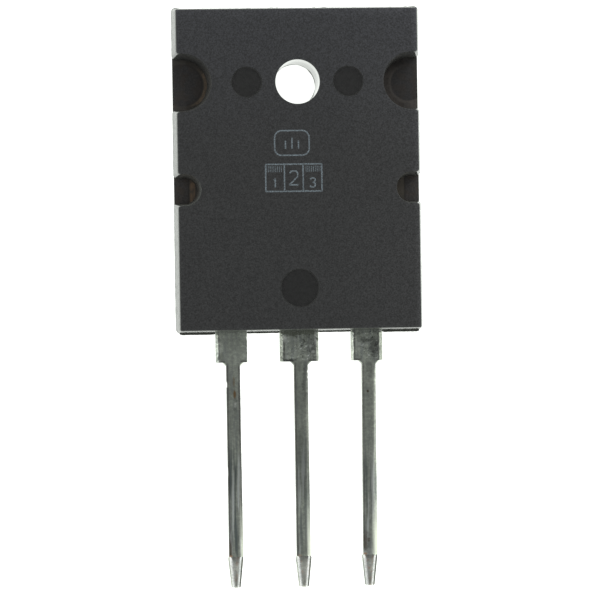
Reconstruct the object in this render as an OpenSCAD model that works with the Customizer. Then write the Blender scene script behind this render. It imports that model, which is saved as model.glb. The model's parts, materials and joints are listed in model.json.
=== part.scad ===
// Three-lead moulded power transistor, lying on its mounting face.
// Origin: axis of the mounting hole, on the mounting face.
// +Z out of the printed face, +Y toward the hole end, leads toward -Y.

/* [Moulded body] */
// Width of the body at the parting line
body_w = 19.96; // [19.8:0.02:20.0]
// Length of the body at the parting line
body_l = 26.16; // [26.0:0.02:26.2]
// Thickness of the body, mounting face to printed face
body_t = 5.0; // [4.9:0.05:5.1]
// Height of the parting line above the mounting face
parting_z = 2.7; // [2.6:0.05:2.8]
// Draft of the front half, in degrees
front_draft = 7; // [5:0.5:8]
// Draft of the back half, in degrees
back_draft = 5; // [3:0.5:6]
// Softening of the front edges
front_edge = 0.12; // [0.05:0.01:0.2]
// Corner radius at the parting line
corner_r = 0.4; // [0.2:0.05:0.6]

/* [Mounting hole] */
// Diameter of the mounting hole
hole_d = 3.5; // [3.3:0.05:3.6]
// Diameter of the hole at its front rim
hole_rim_d = 3.6; // [3.55:0.01:3.7]
// Distance from the hole's axis to the top edge at the parting line
hole_to_top = 6.18; // [6.07:0.01:6.27]

/* [Side notches] */
// Radius of the upper notches at the printed face
upper_notch_r = 2.29; // [2.2:0.01:2.4]
// Radius of the upper notches at their floor
upper_notch_floor_r = 2.03; // [1.95:0.01:2.1]
// Distance of the upper notches' centres from the middle
upper_notch_x = 9.17; // [9.1:0.01:9.25]
// Radius of the lower notches at the printed face
lower_notch_r = 1.24; // [1.15:0.01:1.3]
// Radius of the lower notches at their floor
lower_notch_floor_r = 1.0; // [0.95:0.01:1.05]
// Distance of the lower notches' centres from the middle
lower_notch_x = 9.06; // [9.0:0.01:9.15]
// Distance of the lower notches below the hole's axis
lower_notch_y = 8.52; // [8.4:0.02:8.7]
// Width of the softened corners at the notches' mouths
mouth_cut = 0.25; // [0.1:0.05:0.35]

/* [Ejector marks] */
// Diameter of the two marks beside the hole
side_mark_d = 2.43; // [2.2:0.01:2.6]
// Distance of those two marks from the hole's axis
side_mark_x = 4.06; // [3.9:0.02:4.2]
// Diameter of the lower mark
low_mark_d = 3.0; // [2.8:0.05:3.2]
// Distance of the lower mark below the hole's axis
low_mark_y = 16.43; // [16.2:0.01:16.6]
// Depth of the marks
mark_depth = 0.14; // [0.08:0.01:0.2]

/* [Heat spreader] */
// Thickness of the copper plate
plate_t = 2.05; // [2.0:0.01:2.1]
// Width of the plate at its upper face
plate_w = 17.6; // [17.4:0.1:17.8]
// Distance from the hole's axis up to the plate's top edge
plate_top = 5.3; // [5.1:0.05:5.4]
// Distance from the hole's axis down to the plate's bottom edge
plate_bottom = 14.8; // [14.5:0.1:15.0]
// Width of the mould lock step round the plate's mounting face
lock_step = 0.3; // [0.2:0.05:0.4]
// Height of the mould lock step
lock_z = 0.9; // [0.7:0.05:1.1]
// Diameter of the plate's hole, lined with moulded resin
plate_hole_d = 6.0; // [5.6:0.1:6.4]
// Radius of the plate's cut-outs under the upper notches
plate_notch_r = 1.6; // [1.5:0.02:1.7]

/* [Leads] */
// Spacing of the leads
pitch = 5.46; // [5.4:0.01:5.5]
// Thickness of the leads
lead_t = 0.6; // [0.55:0.01:0.65]
// Length of the leads from the body's end
lead_l = 20.6; // [20.3:0.05:20.8]
// Width of the narrow part of each lead
lead_w = 1.12; // [1.06:0.01:1.3]
// How far the narrow parts stand to the right of their pitch lines
narrow_shift = 0.04; // [0:0.01:0.1]
// How far the shoulders stand to the left of their pitch lines
shoulder_shift = 0.07; // [0:0.01:0.1]
// Width of the outer leads' shoulders
shoulder_w = 2.53; // [2.4:0.01:2.65]
// Width of the centre lead's shoulder
centre_shoulder_w = 3.1; // [2.9:0.01:3.2]
// Length of the shoulders from the body's end
shoulder_l = 2.38; // [2.3:0.01:2.55]
// Width of the rolled edge along the shoulders
shoulder_bevel = 0.2; // [0.1:0.01:0.25]
// Length of the coined taper at each tip
tip_l = 2.5; // [2.0:0.1:3.0]
// Width of the tip's end
tip_w = 0.69; // [0.6:0.01:0.8]
// Width of the bevels along the coined tips
tip_bevel = 0.28; // [0.15:0.01:0.3]
// Inward lean of the right lead, in degrees
lean = 0.4; // [0:0.1:1]
// How far the trimmed resin web stands out beside and between the leads
web = 0.1; // [0.05:0.01:0.2]
// How far it stands out at the left end, where it was trimmed less
web_left = 0.2; // [0.1:0.01:0.3]

/* [Chip and wires] */
// Side of the square chip
chip = 7.0; // [6:0.1:8]
// Thickness of the chip
chip_t = 0.3; // [0.25:0.01:0.35]
// Thickness of the solder under the chip
solder_t = 0.06; // [0.04:0.01:0.08]
// Diameter of the base wire
base_wire_d = 0.38; // [0.3:0.01:0.4]
// Diameter of each emitter wire
emitter_wire_d = 0.5; // [0.4:0.01:0.5]

/* [Hidden] */
$fn = 64;
e = 0.01;
top_y = hole_to_top;
bot_y = hole_to_top - body_l;
hw = body_w / 2;
front_in = (body_t - parting_z) * tan(front_draft);
edge_in = (body_t - front_edge - parting_z) * tan(front_draft);
back_in = parting_z * tan(back_draft);
lead_z0 = parting_z - lead_t / 2;
lead_z1 = parting_z + lead_t / 2;
web_y = bot_y - web;
shoulder_y = bot_y - shoulder_l;
tip_y = bot_y - lead_l;
chip_y = -9.0;
chip_z = plate_t + solder_t;
die_top = chip_z + chip_t;
pad_top_y = -15.6;
pad_low_y = -18.2;
wire_sides = 8;
wire_rings = 16;

// Half of a drafted section: how far the wall stands from the middle at each height
function drafted(h) = [[h - back_in, 0], [h, parting_z], [h - edge_in, body_t - front_edge],
                       [h - front_in - front_edge, body_t]];
function mirrored(p) = concat(p, [for (i = [len(p) - 1:-1:0]) [-p[i][0], p[i][1]]]);

// Rectangle with rounded corners, from its lower left corner
module rounded(w, l, r) {
  translate([r, 0]) square([w - 2 * r, l]);
  translate([0, r]) square([w, l - 2 * r]);
  for (x = [r, w - r], y = [r, l - r]) translate([x, y]) circle(r);
}

// Extrudes a section drawn in X and Z along Y, from y0 down to y1
module along_y(y0, y1) {
  translate([0, y0, 0]) rotate([90, 0, 0]) linear_extrude(height = y0 - y1) children();
}

// Extrudes a section drawn in Y and Z along X, from x0 to x1
module along_x(x0, x1) {
  translate([x0, 0, 0]) rotate([90, 0, 90]) linear_extrude(height = x1 - x0) children();
}

// The body with its draft on all four sides, before anything is taken out
module blank() {
  intersection() {
    along_y(top_y + 1, bot_y - 1) polygon(mirrored(drafted(hw)));
    along_x(-hw - 1, hw + 1) translate([top_y - body_l / 2, 0])
      polygon(mirrored(drafted(body_l / 2)));
    translate([-hw, bot_y, -1]) linear_extrude(height = body_t + 2)
      rounded(body_w, body_l, corner_r);
  }
}

// A notch with drafted walls, open to the side that +X points to
module notch(r_front, r_floor) {
  k = (r_front - r_floor) / (body_t - plate_t);
  r_out = r_front + k * 0.5;
  translate([0, 0, plate_t]) cylinder(r1 = r_floor, r2 = r_out, h = body_t - plate_t + 0.5);
  along_x(0, 3) polygon([[-r_floor, plate_t], [r_floor, plate_t],
                         [r_out, body_t + 0.5], [-r_out, body_t + 0.5]]);
}

// Leaning wedge that takes the sharp corner off between a notch's wall and the body's side
module mouth(r_front, r_floor) {
  k = (r_front - r_floor) / (body_t - plate_t);
  m = mouth_cut;
  levels = [plate_t, body_t + 0.5];
  function corner(z) = [hw - (z - parting_z) * tan(front_draft), r_floor + (z - plate_t) * k, z];
  points = [for (z = levels) each [corner(z) + [-m - 0.3, -0.3, 0], corner(z) + [0.3, -0.3, 0],
                                   corner(z) + [0.3, m + 0.3, 0]]];
  polyhedron(points, [[0, 1, 2], [5, 4, 3], [0, 3, 4, 1], [1, 4, 5, 2], [2, 5, 3, 0]]);
}

module notches() {
  for (s = [0, 1]) mirror([s, 0, 0]) {
    translate([upper_notch_x, 0, 0]) notch(upper_notch_r, upper_notch_floor_r);
    translate([lower_notch_x, -lower_notch_y, 0]) notch(lower_notch_r, lower_notch_floor_r);
    for (t = [0, 1]) {
      mirror([0, t, 0]) mouth(upper_notch_r, upper_notch_floor_r);
      translate([0, -lower_notch_y, 0]) mirror([0, t, 0]) mouth(lower_notch_r, lower_notch_floor_r);
    }
  }
}

module hole() {
  translate([0, 0, -1]) cylinder(d = hole_d, h = body_t + 2);
  translate([0, 0, body_t - 0.6])
    cylinder(d1 = hole_d, d2 = hole_rim_d + (hole_rim_d - hole_d) / 3, h = 0.8);
}

module mark(d) {
  translate([0, 0, body_t - mark_depth]) cylinder(d1 = d - 0.08, d2 = d + 0.1, h = mark_depth * 2);
}

module marks() {
  for (s = [-1, 1]) translate([s * side_mark_x, 0, 0]) mark(side_mark_d);
  translate([0, -low_mark_y, 0]) mark(low_mark_d);
}

// Resin left between the leads where the web was trimmed off
module webs() {
  a = [-pitch - shoulder_w / 2, -pitch + shoulder_w / 2, -centre_shoulder_w / 2,
       centre_shoulder_w / 2, pitch - shoulder_w / 2, pitch + shoulder_w / 2];
  b = [for (x = a) x - shoulder_shift];
  edges = [[-hw + 0.3, b[0]], [b[1], b[2]], [b[3], b[4]], [b[5], hw - 0.3]];
  for (i = [0:3]) let(out = i == 0 ? web_left : web) translate([edges[i][0], bot_y - out, lead_z0])
    cube([edges[i][1] - edges[i][0], out + 0.3, lead_t]);
}

// The copper plate: two levels with a lock step, hole, side cut-outs and a groove
module plate() {
  difference() {
    union() {
      translate([-plate_w / 2, -plate_bottom, lock_z]) linear_extrude(height = plate_t - lock_z)
        rounded(plate_w, plate_top + plate_bottom, 0.6);
      translate([-plate_w / 2 + lock_step, -plate_bottom + lock_step, 0])
        linear_extrude(height = lock_z)
          rounded(plate_w - 2 * lock_step, plate_top + plate_bottom - 2 * lock_step, 0.5);
    }
    translate([0, 0, -1]) cylinder(d = plate_hole_d, h = plate_t + 2);
    for (s = [-1, 1]) translate([s * upper_notch_x, 0, -1])
      cylinder(r = plate_notch_r, h = plate_t + 2);
    along_x(-7.5, 7.5) polygon([[-4.65, plate_t + e], [-4.4, plate_t - 0.2], [-4.15, plate_t + e]]);
  }
}

// The centre lead's root, stepping down from the leads' level to the plate
module root() {
  along_x(-centre_shoulder_w / 2 - shoulder_shift, centre_shoulder_w / 2 - shoulder_shift) polygon([
    [-plate_bottom + 0.8, 1.45], [-plate_bottom - 0.4, 1.45], [-plate_bottom - 1.7, lead_z0],
    [web_y, lead_z0], [web_y, lead_z1], [-plate_bottom - 1.5, lead_z1],
    [-plate_bottom - 0.2, plate_t], [-plate_bottom + 0.8, plate_t]]);
}

// An outer lead's part inside the body: shank and bonding pad with a lock hole, side s
module pad(s) {
  translate([s * pitch - shoulder_shift - shoulder_w / 2, web_y, lead_z0])
    cube([shoulder_w, pad_low_y - web_y + 0.5, lead_t]);
  difference() {
    translate([s * pitch - 2.8, pad_low_y, lead_z0]) linear_extrude(height = lead_t)
      rounded(5.6, pad_top_y - pad_low_y, 0.3);
    translate([s * (pitch + 1.95), (pad_top_y + pad_low_y) / 2, 0]) cylinder(d = 0.9, h = 5);
  }
}

// Strip section with its front edges rolled off by b
module strip(w, b) {
  polygon([[-w / 2, lead_z0], [w / 2, lead_z0], [w / 2, lead_z1 - b * 0.6], [w / 2 - b, lead_z1],
           [-w / 2 + b, lead_z1], [-w / 2, lead_z1 - b * 0.6]]);
}

// Thin slice of the lead's tip, bevelled on both faces
module slice(y, w, t, b) {
  along_y(y, y - 0.02) polygon([
    [-w / 2, parting_z - t / 2 + b * 0.6], [-w / 2 + b, parting_z - t / 2],
    [w / 2 - b, parting_z - t / 2], [w / 2, parting_z - t / 2 + b * 0.6],
    [w / 2, parting_z + t / 2 - b * 0.6], [w / 2 - b, parting_z + t / 2],
    [-w / 2 + b, parting_z + t / 2], [-w / 2, parting_z + t / 2 - b * 0.6]]);
}

// The lead outside the body: shoulder w wide, small corner fillets, narrow part, coined tip
module outside(w, turn = 0) {
  translate([-shoulder_shift, 0, 0]) along_y(web_y, shoulder_y) strip(w, shoulder_bevel);
  translate([narrow_shift, 0, 0]) for (s = [0, 1]) mirror([s, 0, 0])
    translate([0, 0, lead_z0]) linear_extrude(height = lead_t - 0.06)
    polygon([[lead_w / 2 - 0.1, shoulder_y + e], [lead_w / 2 + 0.29, shoulder_y + e],
             [lead_w / 2 + 0.29, shoulder_y], [lead_w / 2, shoulder_y - 0.37],
             [lead_w / 2 - 0.1, shoulder_y - 0.37]]);
  translate([narrow_shift, shoulder_y, 0]) rotate([0, 0, turn]) translate([0, -shoulder_y, 0]) {
    along_y(shoulder_y + 0.1, tip_y + tip_l) strip(lead_w, 0.06);
    hull() {
      slice(tip_y + tip_l, lead_w + 0.04, lead_t, tip_bevel);
      slice(tip_y + 0.12, tip_w, lead_t * 0.72, tip_bevel * 0.9);
      slice(tip_y + 0.02, tip_w - 0.16, lead_t * 0.44, tip_bevel * 0.5);
    }
  }
}

// Arch of a bonded wire: height at the fraction t of its span, from za to zb over the apex
function arch(t, za, zb, rise) = za + (zb - za) * t * t * (3 - 2 * t) + rise * pow(sin(180 * t), 2);

// Ring of the wire at the fraction t, square to the arch
function ring(t, s0, s1, za, zb, rise, r) = let(
    a = atan2(arch(t + 0.005, za, zb, rise) - arch(t - 0.005, za, zb, rise), 0.01 * (s1 - s0)),
    s = s0 + (s1 - s0) * t, z = arch(t, za, zb, rise))
  [for (k = [0:wire_sides - 1]) let(u = 360 * (k + 0.5) / wire_sides)
    [s - sin(a) * cos(u) * r, sin(u) * r, z + cos(a) * cos(u) * r]];

// Round wire swept along its arch
module wire(s0, s1, za, zb, rise, d) {
  n = wire_rings;
  m = wire_sides;
  points = [for (i = [0:n]) each ring(i / n, s0, s1, za, zb, rise, d / 2)];
  walls = [for (i = [0:n - 1], k = [0:m - 1]) let(k2 = (k + 1) % m)
    each [[i * m + k, i * m + k2, (i + 1) * m + k2], [i * m + k, (i + 1) * m + k2, (i + 1) * m + k]]];
  ends = [[for (k = [m - 1:-1:0]) k], [for (k = [0:m - 1]) n * m + k]];
  polyhedron(points, concat(walls, ends), convexity = 4);
}

// A wire bonded on the chip at a and on a lead's pad at b, each end on a flattened foot
module bond(a, b, d) {
  long = norm(b - a);
  translate([a[0], a[1], 0]) rotate([0, 0, atan2(b[1] - a[1], b[0] - a[0])]) {
    translate([0, 0, die_top]) foot(d);
    translate([long, 0, lead_z1]) foot(d);
    wire(-d * 0.7, long + d * 0.7, die_top + d * 0.62, lead_z1 + d * 0.62, 1.25, d);
  }
}

module foot(d) {
  linear_extrude(height = d * 0.6) {
    translate([-d, -d * 0.7]) square([d * 2, d * 1.4]);
    for (s = [-1, 1]) translate([s * d, 0]) circle(d * 0.7);
  }
}

module base_wire() { bond([-2.3, -11.3], [-4.5, -16.9], base_wire_d); }
module emitter_wire_1() { bond([0.5, -10.7], [3.8, -16.9], emitter_wire_d); }
module emitter_wire_2() { bond([2.4, -10.4], [5.7, -16.6], emitter_wire_d); }

module solder() {
  translate([-chip / 2 - 0.1, chip_y - chip / 2 - 0.1, plate_t])
    cube([chip + 0.2, chip + 0.2, solder_t]);
}

module die() { translate([-chip / 2, chip_y - chip / 2, chip_z]) cube([chip, chip, chip_t]); }

module epoxy_body() {
  color([0.24, 0.24, 0.25]) difference() {
    union() {
      blank();
      webs();
    }
    notches();
    hole();
    marks();
    plate();
    root();
    for (s = [-1, 1]) pad(s);
    solder();
    die();
    base_wire();
    emitter_wire_1();
    emitter_wire_2();
  }
}

module collector_header() {
  color([0.72, 0.45, 0.32]) {
    plate();
    root();
    outside(centre_shoulder_w);
  }
}

module base_lead() {
  color([0.62, 0.64, 0.60]) {
    pad(-1);
    translate([-pitch, 0, 0]) outside(shoulder_w);
  }
}

module emitter_lead() {
  color([0.62, 0.64, 0.60]) {
    pad(1);
    translate([pitch, 0, 0]) outside(shoulder_w, -lean);
  }
}

module die_attach_solder() { color([0.6, 0.6, 0.62]) solder(); }
module silicon_die() { color([0.35, 0.36, 0.42]) die(); }
module base_bond_wire() { color([0.85, 0.85, 0.86]) base_wire(); }
module emitter_bond_wire_1() { color([0.85, 0.85, 0.86]) emitter_wire_1(); }
module emitter_bond_wire_2() { color([0.85, 0.85, 0.86]) emitter_wire_2(); }

epoxy_body();
collector_header();
base_lead();
emitter_lead();
die_attach_solder();
silicon_die();
base_bond_wire();
emitter_bond_wire_1();
emitter_bond_wire_2();
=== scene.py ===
import json
import math

import bmesh
import bpy
from mathutils import Matrix, Vector, noise
from mathutils.geometry import delaunay_2d_cdt
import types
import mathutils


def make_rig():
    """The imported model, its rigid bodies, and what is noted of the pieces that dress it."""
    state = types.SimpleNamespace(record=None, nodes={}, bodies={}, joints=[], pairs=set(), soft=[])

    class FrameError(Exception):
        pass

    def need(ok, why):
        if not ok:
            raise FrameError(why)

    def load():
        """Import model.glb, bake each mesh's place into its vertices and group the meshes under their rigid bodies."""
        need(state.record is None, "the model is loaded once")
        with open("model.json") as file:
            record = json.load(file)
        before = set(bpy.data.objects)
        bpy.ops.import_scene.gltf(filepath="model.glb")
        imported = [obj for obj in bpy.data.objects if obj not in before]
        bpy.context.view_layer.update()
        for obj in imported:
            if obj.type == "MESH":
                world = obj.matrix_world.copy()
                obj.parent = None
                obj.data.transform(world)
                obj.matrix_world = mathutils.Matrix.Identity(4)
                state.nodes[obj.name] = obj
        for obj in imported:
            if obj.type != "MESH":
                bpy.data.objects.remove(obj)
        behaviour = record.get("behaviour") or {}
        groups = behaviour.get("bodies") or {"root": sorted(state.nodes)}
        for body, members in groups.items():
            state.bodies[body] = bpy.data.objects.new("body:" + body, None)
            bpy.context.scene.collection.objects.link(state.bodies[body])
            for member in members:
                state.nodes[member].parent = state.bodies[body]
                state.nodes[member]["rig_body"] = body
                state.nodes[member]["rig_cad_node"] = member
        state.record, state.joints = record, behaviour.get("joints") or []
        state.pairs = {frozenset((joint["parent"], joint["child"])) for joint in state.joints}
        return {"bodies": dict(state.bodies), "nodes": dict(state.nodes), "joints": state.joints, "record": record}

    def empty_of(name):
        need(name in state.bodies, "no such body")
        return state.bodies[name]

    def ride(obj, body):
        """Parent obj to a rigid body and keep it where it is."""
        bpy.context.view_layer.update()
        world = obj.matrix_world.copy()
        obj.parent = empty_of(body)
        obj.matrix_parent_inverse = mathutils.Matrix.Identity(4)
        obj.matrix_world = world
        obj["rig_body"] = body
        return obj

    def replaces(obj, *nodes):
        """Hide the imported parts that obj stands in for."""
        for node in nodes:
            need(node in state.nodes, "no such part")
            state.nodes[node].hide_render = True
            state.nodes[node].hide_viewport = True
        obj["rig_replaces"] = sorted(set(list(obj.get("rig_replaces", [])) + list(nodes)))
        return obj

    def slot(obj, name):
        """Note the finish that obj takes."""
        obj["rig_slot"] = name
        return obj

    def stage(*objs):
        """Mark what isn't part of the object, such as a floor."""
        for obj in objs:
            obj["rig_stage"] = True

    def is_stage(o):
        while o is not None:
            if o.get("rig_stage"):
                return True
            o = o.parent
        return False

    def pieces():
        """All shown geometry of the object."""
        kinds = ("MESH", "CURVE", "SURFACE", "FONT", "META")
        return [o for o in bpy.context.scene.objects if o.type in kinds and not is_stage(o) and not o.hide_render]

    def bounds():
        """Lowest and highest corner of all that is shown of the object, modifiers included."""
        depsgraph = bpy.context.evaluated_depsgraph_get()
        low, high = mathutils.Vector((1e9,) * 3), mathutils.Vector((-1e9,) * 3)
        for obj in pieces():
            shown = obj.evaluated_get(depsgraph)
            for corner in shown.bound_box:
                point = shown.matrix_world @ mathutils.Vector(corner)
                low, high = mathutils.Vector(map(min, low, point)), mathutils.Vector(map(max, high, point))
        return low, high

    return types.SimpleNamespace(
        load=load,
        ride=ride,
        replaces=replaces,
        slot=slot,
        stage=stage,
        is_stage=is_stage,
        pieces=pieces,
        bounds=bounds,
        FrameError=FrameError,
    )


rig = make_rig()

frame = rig.load()
cad_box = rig.bounds()

MM = 0.001

# ---------------------------------------------------------------- sizes, in millimetres
HW, TOP, BOT = 9.98, 6.18, -19.98          # body at the parting line
BT, PZ = 5.0, 2.7                          # body thickness, parting height
FW, FT, FB = HW - 0.34, TOP - 0.29, BOT + 0.235   # printed face's edges, drafted in from the parting line
TB = math.tan(math.radians(5))
FLOOR = 2.05                               # plate's top, floor of the notches
EDGE, TRIM = 0.06, 0.05                    # rounding of the printed face's edge; the top wall lies this far in from its flash
NOTCHES = {"up": (9.17, 0.0, 2.29, 2.03), "low": (9.06, -8.52, 1.24, 1.00)}
PLATE_W, PLATE_TOP, PLATE_BOT, STEP, LOCK_Z, PLATE_HOLE, BITE = 8.8, 5.3, -14.8, 0.3, 0.9, 3.0, 1.6
PITCH, Z0, Z1 = 5.46, 2.4, 3.0
LEAN = math.radians(0.4)
NARROW, AHEAD, BACK = 1.12, 0.04, 0.07                     # free length's width; it and the shoulders sit off the pitch line


def wob(x, y, z, size, seed=0.0):
    """Smooth noise in -1..1 whose bumps are about size millimetres across."""
    return noise.noise(Vector((x / size + seed, y / size - seed * 0.7, z / size + seed * 1.3)))


# ---------------------------------------------------------------- camera
cam_data = bpy.data.cameras.new("camera")
cam = bpy.data.objects.new("camera", cam_data)
bpy.context.collection.objects.link(cam)
cam_data.sensor_width = 36.0
cam_data.sensor_fit = "HORIZONTAL"
cam_data.lens = 2622.08 / 600 * 36.0
cam_data.clip_start, cam_data.clip_end = 0.005, 20.0
tilt, pan, roll = (math.radians(v) for v in (0.5606, 3.7563, 0.9288))
to_cam = Matrix.Rotation(roll, 3, "Z") @ Matrix.Rotation(pan, 3, "Y") @ Matrix.Rotation(tilt, 3, "X")
cam.matrix_world = Matrix.Translation(Vector((-13.7718, -15.3617, 213.5391)) * MM) @ to_cam.transposed().to_4x4()
bpy.context.scene.camera = cam
bpy.context.scene.view_settings.view_transform = "Standard"
bpy.context.scene.view_settings.look = "None"


# ---------------------------------------------------------------- node helpers
class Tree:
    """Short calls for building a node tree."""

    def __init__(self, tree):
        self.t = tree

    def n(self, kind, **values):
        node = self.t.nodes.new(kind)
        for k, v in values.items():
            if hasattr(node, k) and not k[0].isupper():
                setattr(node, k, v)
        return node

    def link(self, a, b):
        self.t.links.new(a, b)

    def put(self, socket, value):
        if isinstance(value, bpy.types.NodeSocket):
            self.link(value, socket)
        else:
            socket.default_value = value

    def math(self, op, a, b=0.0, c=0.0, clamp=False):
        m = self.n("ShaderNodeMath", operation=op, use_clamp=clamp)
        for s, v in zip(m.inputs, (a, b, c)):
            self.put(s, v)
        return m.outputs[0]

    def span(self, v, lo, hi, out0=0.0, out1=1.0, smooth=True):
        m = self.n("ShaderNodeMapRange", interpolation_type="SMOOTHSTEP" if smooth else "LINEAR")
        for s, x in zip(m.inputs, (v, lo, hi, out0, out1)):
            self.put(s, x)
        return m.outputs[0]

    def mix(self, f, a, b, kind="MIX"):
        m = self.n("ShaderNodeMix", data_type="RGBA", blend_type=kind)
        self.put(m.inputs[0], f)
        self.put(m.inputs[6], a)
        self.put(m.inputs[7], b)
        return m.outputs[2]

    def noise(self, vec, scale, detail=2.0, rough=0.5, distort=0.0):
        m = self.n("ShaderNodeTexNoise")
        self.link(vec, m.inputs["Vector"])
        m.inputs["Scale"].default_value = scale
        m.inputs["Detail"].default_value = detail
        m.inputs["Roughness"].default_value = rough
        m.inputs["Distortion"].default_value = distort
        return m.outputs["Fac"]

    def place(self, scale=(1000.0,) * 3, loc=(0.0,) * 3):
        c = self.n("ShaderNodeTexCoord")
        m = self.n("ShaderNodeMapping")
        m.inputs["Scale"].default_value = scale
        m.inputs["Location"].default_value = loc
        self.link(c.outputs["Object"], m.inputs["Vector"])
        return m.outputs["Vector"]

    def axes(self, vec):
        s = self.n("ShaderNodeSeparateXYZ")
        self.link(vec, s.inputs[0])
        return s.outputs

    def spot(self, xyz, x, y, rx, ry, soft=0.5):
        """1 inside an ellipse of the plan, falling to 0 outside it."""
        dx = self.math("DIVIDE", self.math("SUBTRACT", xyz[0], x), rx)
        dy = self.math("DIVIDE", self.math("SUBTRACT", xyz[1], y), ry)
        d = self.math("SQRT", self.math("ADD", self.math("MULTIPLY", dx, dx), self.math("MULTIPLY", dy, dy)))
        return self.span(d, 1.0 - soft, 1.0 + soft, 1.0, 0.0)


def new_material(name):
    m = bpy.data.materials.new(name)
    m.use_nodes = True
    t = Tree(m.node_tree)
    b = m.node_tree.nodes["Principled BSDF"]
    return m, t, b


def grey(v, r=1.0, g=1.0, b=1.0):
    return (v * r, v * g, v * b, 1.0)


def notch_stains(t, xyz, base, streaks):
    """Where the notches show thin resin over the copper it is browner: a streak along the rim of the left notch's
    floor, a wide pale band in the right one, a stripe in the small left notch, mottling in the small right one."""
    out = t.math("ABSOLUTE", xyz[0])
    left = t.math("LESS_THAN", xyz[0], 0.0)
    right = t.math("SUBTRACT", 1.0, left)
    dx = t.math("SUBTRACT", out, NOTCHES["up"][0])
    ring = t.math("SQRT", t.math("ADD", t.math("MULTIPLY", dx, dx), t.math("MULTIPLY", xyz[1], xyz[1])))
    big = t.span(xyz[1], -5.0, -4.0)
    rim = t.math("MULTIPLY", big, t.span(ring, 1.60, 1.78))
    base = t.mix(t.math("MULTIPLY", rim, t.math("MULTIPLY", left, 0.8)), base, (0.062, 0.056, 0.048, 1.0))
    band = t.math("MULTIPLY", t.span(ring, 1.72, 1.84), t.math("MULTIPLY", t.span(xyz[1], 1.5, 0.6), t.span(xyz[1], -1.80, -1.40)))
    base = t.mix(t.math("MULTIPLY", t.math("MULTIPLY", band, left), streaks), base, (0.172, 0.132, 0.094, 1.0))
    base = t.mix(t.math("MULTIPLY", big, right), base, grey(0.86), "MULTIPLY")
    wide = t.math("MULTIPLY", t.math("MULTIPLY", big, t.span(xyz[1], 1.7, 0.7)), t.span(ring, 1.34, 1.50))
    base = t.mix(t.math("MULTIPLY", t.math("MULTIPLY", wide, right), t.span(streaks, 0.35, 1.0, 0.6, 1.0)), base, (0.090, 0.079, 0.070, 1.0))
    small = t.span(xyz[1], -5.0, -6.0)
    # painted light: the plate's part of the small notches' floors is lighter, against their deep shade
    inner = t.math("MULTIPLY", small, t.span(out, 8.9, 8.6, 0.0, 0.8))
    base = t.mix(inner, base, (0.085, 0.080, 0.070, 1.0))
    base = t.mix(t.math("MULTIPLY", t.math("MULTIPLY", small, right), t.math("MULTIPLY", streaks, t.span(out, 8.8, 8.6, 0.0, 0.7))), base,
                 (0.190, 0.165, 0.132, 1.0))
    stripe = t.math("MULTIPLY", t.span(out, 8.16, 8.28), t.span(out, 8.72, 8.54))
    return t.mix(t.math("MULTIPLY", t.math("MULTIPLY", small, left), t.math("MULTIPLY", stripe, streaks)), base, (0.215, 0.150, 0.100, 1.0))


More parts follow.
